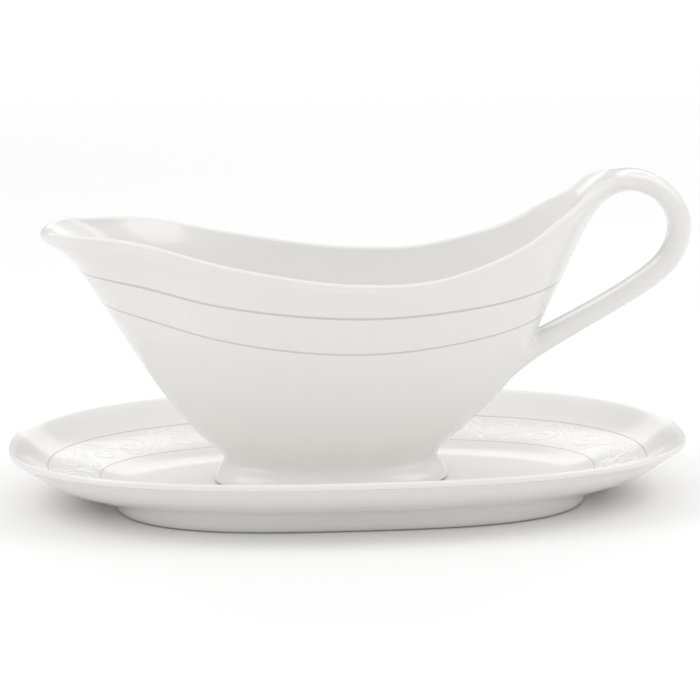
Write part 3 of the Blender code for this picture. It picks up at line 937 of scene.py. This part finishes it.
def make_scrolls(name, place, waves, weight, rise, material):
    """A running scroll: a waving stem, with a volute, two leaves and a bud in each bend."""
    skin = Skin()
    dense = np.linspace(-np.pi, np.pi, 1201)
    middle = place(dense, 0.5)[0]
    travelled = np.concatenate([[0], np.cumsum(np.linalg.norm(np.diff(middle, axis=0), axis=1))])
    pitch = travelled[-1] / (2 * waves)
    tall = np.linalg.norm(place(dense[:1], 1.0)[0] - place(dense[:1], 0.0)[0])

    def lay(along, up):
        """Puts (distance along, -1 to 1 up the band) onto the surface."""
        turn = np.interp(np.mod(along, travelled[-1]), travelled, dense)
        return place(turn, 0.5 + 0.5 * up)

    def stroke(along, up, half_width, closed=False):
        """One ribbon of the scroll."""
        points, normals = lay(along, up)
        ribbon(skin, points, normals, weight * half_width, rise, closed)

    stem = np.arange(0, 2 * waves * 10) * pitch / 10
    swing = STEM_SWING * np.sin(np.pi * stem / pitch)
    stroke(stem, swing, STEM_WIDTH + 0 * stem, closed=True)
    steps = np.linspace(0, 1, 30)
    for bend in range(2 * waves):
        side = 1 if bend % 2 == 0 else -1
        centre = (bend + 0.5) * pitch
        curl = 2 * np.pi * VOLUTE_TURNS * steps + VOLUTE_START
        radius = VOLUTE_RADIUS * tall * (1 - VOLUTE_CLOSING * steps)
        along = centre + radius * np.cos(curl)
        up = side * (VOLUTE_LEVEL + radius * np.sin(curl) / (tall / 2))
        thick, thin = VOLUTE_WIDTHS
        stroke(along, np.clip(up, -HIGHEST_LEVEL, HIGHEST_LEVEL), thick - (thick - thin) * steps)
        for lean in (-1, 1):
            leaf = np.linspace(0, 1, 9)
            along = centre + pitch * lean * (LEAF_FROM + LEAF_LENGTH * leaf)
            up = side * (LEAF_LEVEL + 0.1 * leaf - 0.5 * leaf**2)
            stroke(along, up, 0.2 + 0.75 * np.sin(np.pi * leaf) ** 0.8)
        bud = np.linspace(-1, 1, 7)
        half_width = 0.1 + 0.8 * np.sqrt(1 - 0.95 * bud**2)
        stroke(centre + BUD_HALF_LENGTH * bud, side * BUD_LEVEL + 0 * bud, half_width)
    return ribbon_object(skin, name, material)


# ---------------------------------------------------------------- materials


def node(tree, kind, **values):
    """A new shader node with its inputs set by name."""
    made = tree.nodes.new(kind)
    for key, value in values.items():
        made.inputs[key.replace("_", " ")].default_value = value
    return made


def porcelain(name, colour, roughness, mottle=0.012):
    """Glazed porcelain: a faint cloudiness in the body, under a glaze that isn't quite even."""
    material = bpy.data.materials.new(name)
    material.use_nodes = True
    tree = material.node_tree
    shader = tree.nodes["Principled BSDF"]
    shader.inputs["IOR"].default_value = 1.5
    shader.inputs["Coat Weight"].default_value = 0.3
    shader.inputs["Coat Roughness"].default_value = 0.1
    place = tree.nodes.new("ShaderNodeTexCoord")

    cloud = node(tree, "ShaderNodeTexNoise", Scale=38.0, Detail=4.0, Roughness=0.55)
    tint = tree.nodes.new("ShaderNodeMix")
    tint.data_type = "RGBA"
    tint.inputs["A"].default_value = (*[c * (1 - mottle) for c in colour], 1)
    tint.inputs["B"].default_value = (*[min(1, c * (1 + mottle)) for c in colour], 1)
    tree.links.new(place.outputs["Object"], cloud.inputs["Vector"])
    tree.links.new(cloud.outputs["Fac"], tint.inputs["Factor"])
    tree.links.new(tint.outputs["Result"], shader.inputs["Base Color"])

    pool = node(tree, "ShaderNodeTexNoise", Scale=90.0, Detail=3.0)
    spread = node(tree, "ShaderNodeMapRange", To_Min=roughness * 0.85, To_Max=roughness * 1.2)
    tree.links.new(place.outputs["Object"], pool.inputs["Vector"])
    tree.links.new(pool.outputs["Fac"], spread.inputs["Value"])
    tree.links.new(spread.outputs["Result"], shader.inputs["Roughness"])

    ripple = node(tree, "ShaderNodeTexNoise", Scale=260.0, Detail=2.0)
    bump = node(tree, "ShaderNodeBump", Strength=0.05, Distance=0.0004)
    tree.links.new(place.outputs["Object"], ripple.inputs["Vector"])
    tree.links.new(ripple.outputs["Fac"], bump.inputs["Height"])
    tree.links.new(bump.outputs["Normal"], shader.inputs["Normal"])
    return material


def bare_edged_porcelain(name, colour, bare_colour, bare_below):
    """Glazed porcelain whose bearing edge, below a height in metres, was wiped and left bare."""
    material = porcelain(name, colour, GLAZE_ROUGHNESS)
    tree = material.node_tree
    shader = tree.nodes["Principled BSDF"]
    place = tree.nodes.new("ShaderNodeTexCoord")
    height = tree.nodes.new("ShaderNodeSeparateXYZ")
    waver = node(tree, "ShaderNodeTexNoise", Scale=120.0, Detail=3.0)
    edge = node(tree, "ShaderNodeMath")
    edge.operation = "MULTIPLY_ADD"
    edge.inputs[1].default_value = BARE_WAVER
    edge.inputs[2].default_value = -BARE_WAVER / 2
    lifted = node(tree, "ShaderNodeMath")
    lifted.operation = "ADD"
    bare = node(tree, "ShaderNodeMapRange", From_Min=bare_below, From_Max=bare_below + 0.0002)
    bare.inputs["To Min"].default_value = 1.0
    bare.inputs["To Max"].default_value = 0.0
    tree.links.new(place.outputs["Object"], height.inputs["Vector"])
    tree.links.new(place.outputs["Object"], waver.inputs["Vector"])
    tree.links.new(waver.outputs["Fac"], edge.inputs[0])
    tree.links.new(height.outputs["Z"], lifted.inputs[0])
    tree.links.new(edge.outputs["Value"], lifted.inputs[1])
    tree.links.new(lifted.outputs["Value"], bare.inputs["Value"])
    for socket, bare_value in (("Base Color", (*bare_colour, 1)), ("Roughness", BARE_ROUGHNESS)):
        before = shader.inputs[socket].links[0].from_socket
        mix = tree.nodes.new("ShaderNodeMix")
        mix.data_type = "RGBA" if socket == "Base Color" else "FLOAT"
        kind = "RGBA" if socket == "Base Color" else "VALUE"
        ends = [s for s in mix.inputs if s.type == kind and s.name in "AB" and s.enabled]
        ends[1].default_value = bare_value
        tree.links.new(bare.outputs["Result"], mix.inputs["Factor"])
        tree.links.new(before, ends[0])
        made = [s for s in mix.outputs if s.type == kind and s.enabled]
        tree.links.new(made[0], shader.inputs[socket])
    return material


# ---------------------------------------------------------------- the studio


def make_floor():
    """A plain pale floor that runs far behind the object."""
    mesh = bpy.data.meshes.new("floor")
    work = bmesh.new()
    bmesh.ops.create_grid(work, x_segments=2, y_segments=2, size=6.0)
    work.to_mesh(mesh)
    work.free()
    material = bpy.data.materials.new("floor_paper")
    material.use_nodes = True
    shader = material.node_tree.nodes["Principled BSDF"]
    shader.inputs["Base Color"].default_value = (*FLOOR_WHITE, 1)
    shader.inputs["Roughness"].default_value = 0.9
    mesh.materials.append(material)
    floor = bpy.data.objects.new("floor", mesh)
    floor.location.z = -0.0002
    bpy.context.scene.collection.objects.link(floor)


def area_light(name, place, target, size, power):
    """A soft rectangular light at a place, turned to a target."""
    data = bpy.data.lights.new(name, "AREA")
    data.shape = "RECTANGLE"
    data.size, data.size_y = size
    data.energy = power
    lamp = bpy.data.objects.new(name, data)
    lamp.location = place
    lamp.rotation_mode = "QUATERNION"
    lamp.rotation_quaternion = (Vector(target) - Vector(place)).to_track_quat("-Z", "Y")
    bpy.context.scene.collection.objects.link(lamp)


def make_sky():
    """Studio light from all round, stronger from above than from the horizon."""
    world = bpy.data.worlds.new("studio")
    world.use_nodes = True
    tree = world.node_tree
    place = tree.nodes.new("ShaderNodeTexCoord")
    split = tree.nodes.new("ShaderNodeSeparateXYZ")
    climb = node(tree, "ShaderNodeMapRange", To_Min=HORIZON_LIGHT, To_Max=ZENITH_LIGHT)
    tree.links.new(place.outputs["Generated"], split.inputs["Vector"])
    tree.links.new(split.outputs["Z"], climb.inputs["Value"])
    tree.links.new(climb.outputs["Result"], tree.nodes["Background"].inputs["Strength"])
    tree.nodes["Background"].inputs["Color"].default_value = (1, 1, 1, 1)
    bpy.context.scene.world = world


def make_lights():
    """Soft boxes from both sides, weaker ones in front and behind, and one over the far floor."""
    middle = (0, 0, 0.06)
    area_light("left_box", (-0.76, -0.15, 0.80), middle, (0.6, 0.6), 1.9)
    area_light("right_box", (0.76, -0.15, 0.80), middle, (0.6, 0.6), 1.9)
    area_light("front_box", (0, -1.15, 0.75), middle, (1.0, 0.6), 0.4)
    area_light("back_right_box", (0.9, 0.8, 0.7), middle, (0.7, 0.7), 0.4)
    area_light("backdrop_box", (0, 3.2, 1.6), (0, 3.2, 0), (4.0, 2.4), 30.0)


def make_camera():
    """A long lens, a little above the rim and a little to the spout's side of square on."""
    azimuth = math.radians(CAMERA_AZIMUTH)
    elevation = math.radians(CAMERA_ELEVATION)
    roll = math.radians(CAMERA_ROLL)
    target = Vector(((CAMERA_TARGET[0] + STAND_X) * MM, 0, CAMERA_TARGET[1] * MM))
    back = Vector((
        math.sin(azimuth) * math.cos(elevation),
        -math.cos(azimuth) * math.cos(elevation),
        math.sin(elevation),
    ))
    data = bpy.data.cameras.new("camera")
    data.sensor_width = CAMERA_SENSOR
    data.lens = CAMERA_LENS
    camera = bpy.data.objects.new("camera", data)
    turn = back.to_track_quat("Z", "Y").to_matrix().to_4x4() @ Matrix.Rotation(roll, 4, "Z")
    camera.matrix_world = Matrix.Translation(target + back * CAMERA_DISTANCE) @ turn
    bpy.context.scene.collection.objects.link(camera)
    bpy.context.scene.camera = camera


# ---------------------------------------------------------------- everything


def main():
    """Makes the pieces, puts them on their bodies, and sets the studio round them."""
    glaze = porcelain("white_glaze", WHITE, GLAZE_ROUGHNESS)
    boat_foot_glaze = bare_edged_porcelain(
        "boat_foot_glaze", WHITE, BARE_WHITE, FOOT_BOTTOM * MM + 0.0001
    )
    # The foot ring's glaze is painted a little darker and warmer, as shade under the plate.
    saucer_ring_shaded_glaze = bare_edged_porcelain("saucer_ring_shaded_glaze", SHADED_RING_WHITE, BARE_WHITE, 0.0003)
    line_grey = porcelain("line_grey", LINE_GREY, 0.2, mottle=0.03)
    scroll_glaze = porcelain("scroll_glaze", SCROLL_WHITE, 0.3, mottle=0.02)

    bowl, handle, foot = make_boat(glaze, boat_foot_glaze)
    dish, ring = make_saucer(glaze, saucer_ring_shaded_glaze)
    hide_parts("bowl")
    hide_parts("handle")
    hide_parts("boat_foot")
    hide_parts("saucer_plate")
    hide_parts("saucer_foot_ring")

    # Each line's share up its band, half-width and height.
    upper = make_line("boat_line_upper", boat_band, 1, 0.48, 0.06, line_grey)
    lower = make_line("boat_line_lower", boat_band, 0, 0.36, 0.05, line_grey)
    outer = make_line("saucer_line_outer", saucer_band, 1, 0.42, 0.06, line_grey)
    inner = make_line("saucer_line_inner", saucer_band, 0, 0.36, 0.05, line_grey)
    # Each scroll's number of waves, weight and height.
    boat_scrolls = make_scrolls("boat_scrolls", boat_band, 18, 1.2, 0.035, glaze)
    saucer_scrolls = make_scrolls("saucer_scrolls", saucer_band, 14, 1.6, 0.08, scroll_glaze)

    for piece in (bowl, handle, foot, upper, lower, boat_scrolls):
        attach(piece, "boat")
    for piece in (dish, ring, outer, inner, saucer_scrolls):
        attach(piece, "saucer")

    make_floor()
    make_sky()
    make_lights()
    make_camera()
    bpy.context.scene.view_settings.view_transform = "Standard"

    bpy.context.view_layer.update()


main()
